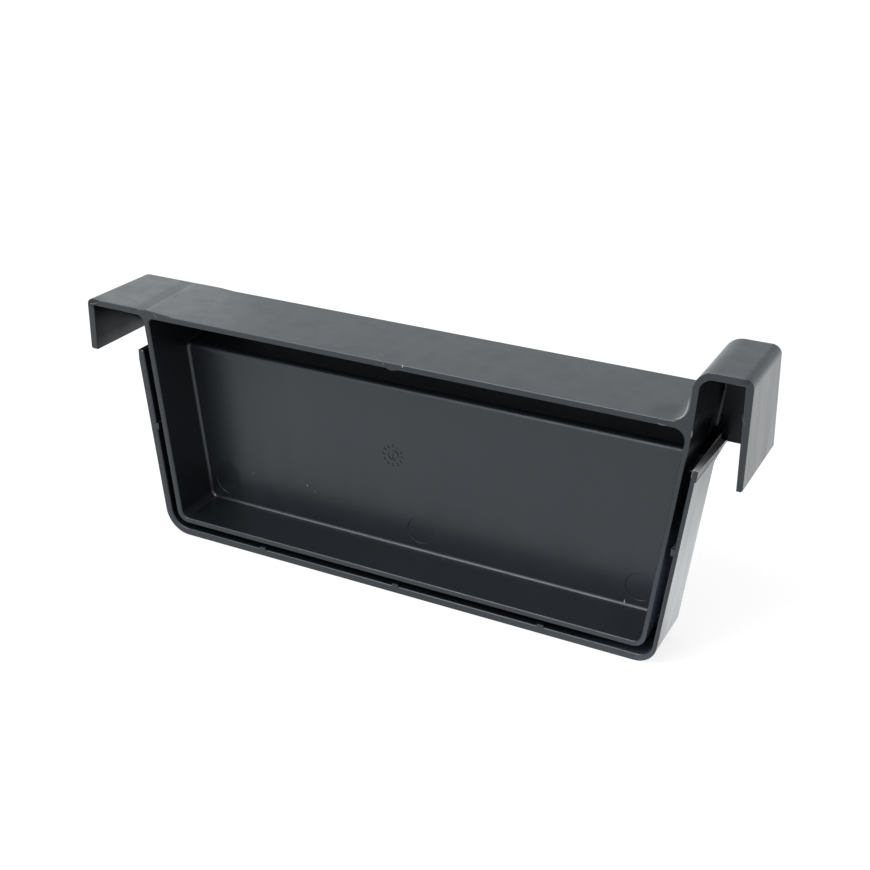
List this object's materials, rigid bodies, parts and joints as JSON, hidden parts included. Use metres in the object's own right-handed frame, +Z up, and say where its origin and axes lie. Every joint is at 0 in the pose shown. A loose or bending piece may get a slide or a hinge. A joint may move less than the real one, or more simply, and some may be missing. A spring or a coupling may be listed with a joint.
{
  "type": "gutter end cap",
  "caption": "Moulded plastic end cap for a box gutter: a shallow tray with a groove for the gutter's wall, a flat shelf and a hooked edge at each side.",
  "frame": {"origin": "middle of the width and depth, on the level of the underside", "axes": "+X along the width, from the low hooked side to the high hooked side; +Y back, away from the open front that the gutter enters; +Z up"},
  "size_m": [0.175, 0.026, 0.0751],
  "materials": {
    "end_cap": "satin moulded PVC, anthracite grey"
  },
  "bodies": {
    "root": {"end_cap": "end_cap"}
  },
  "joints": []
}
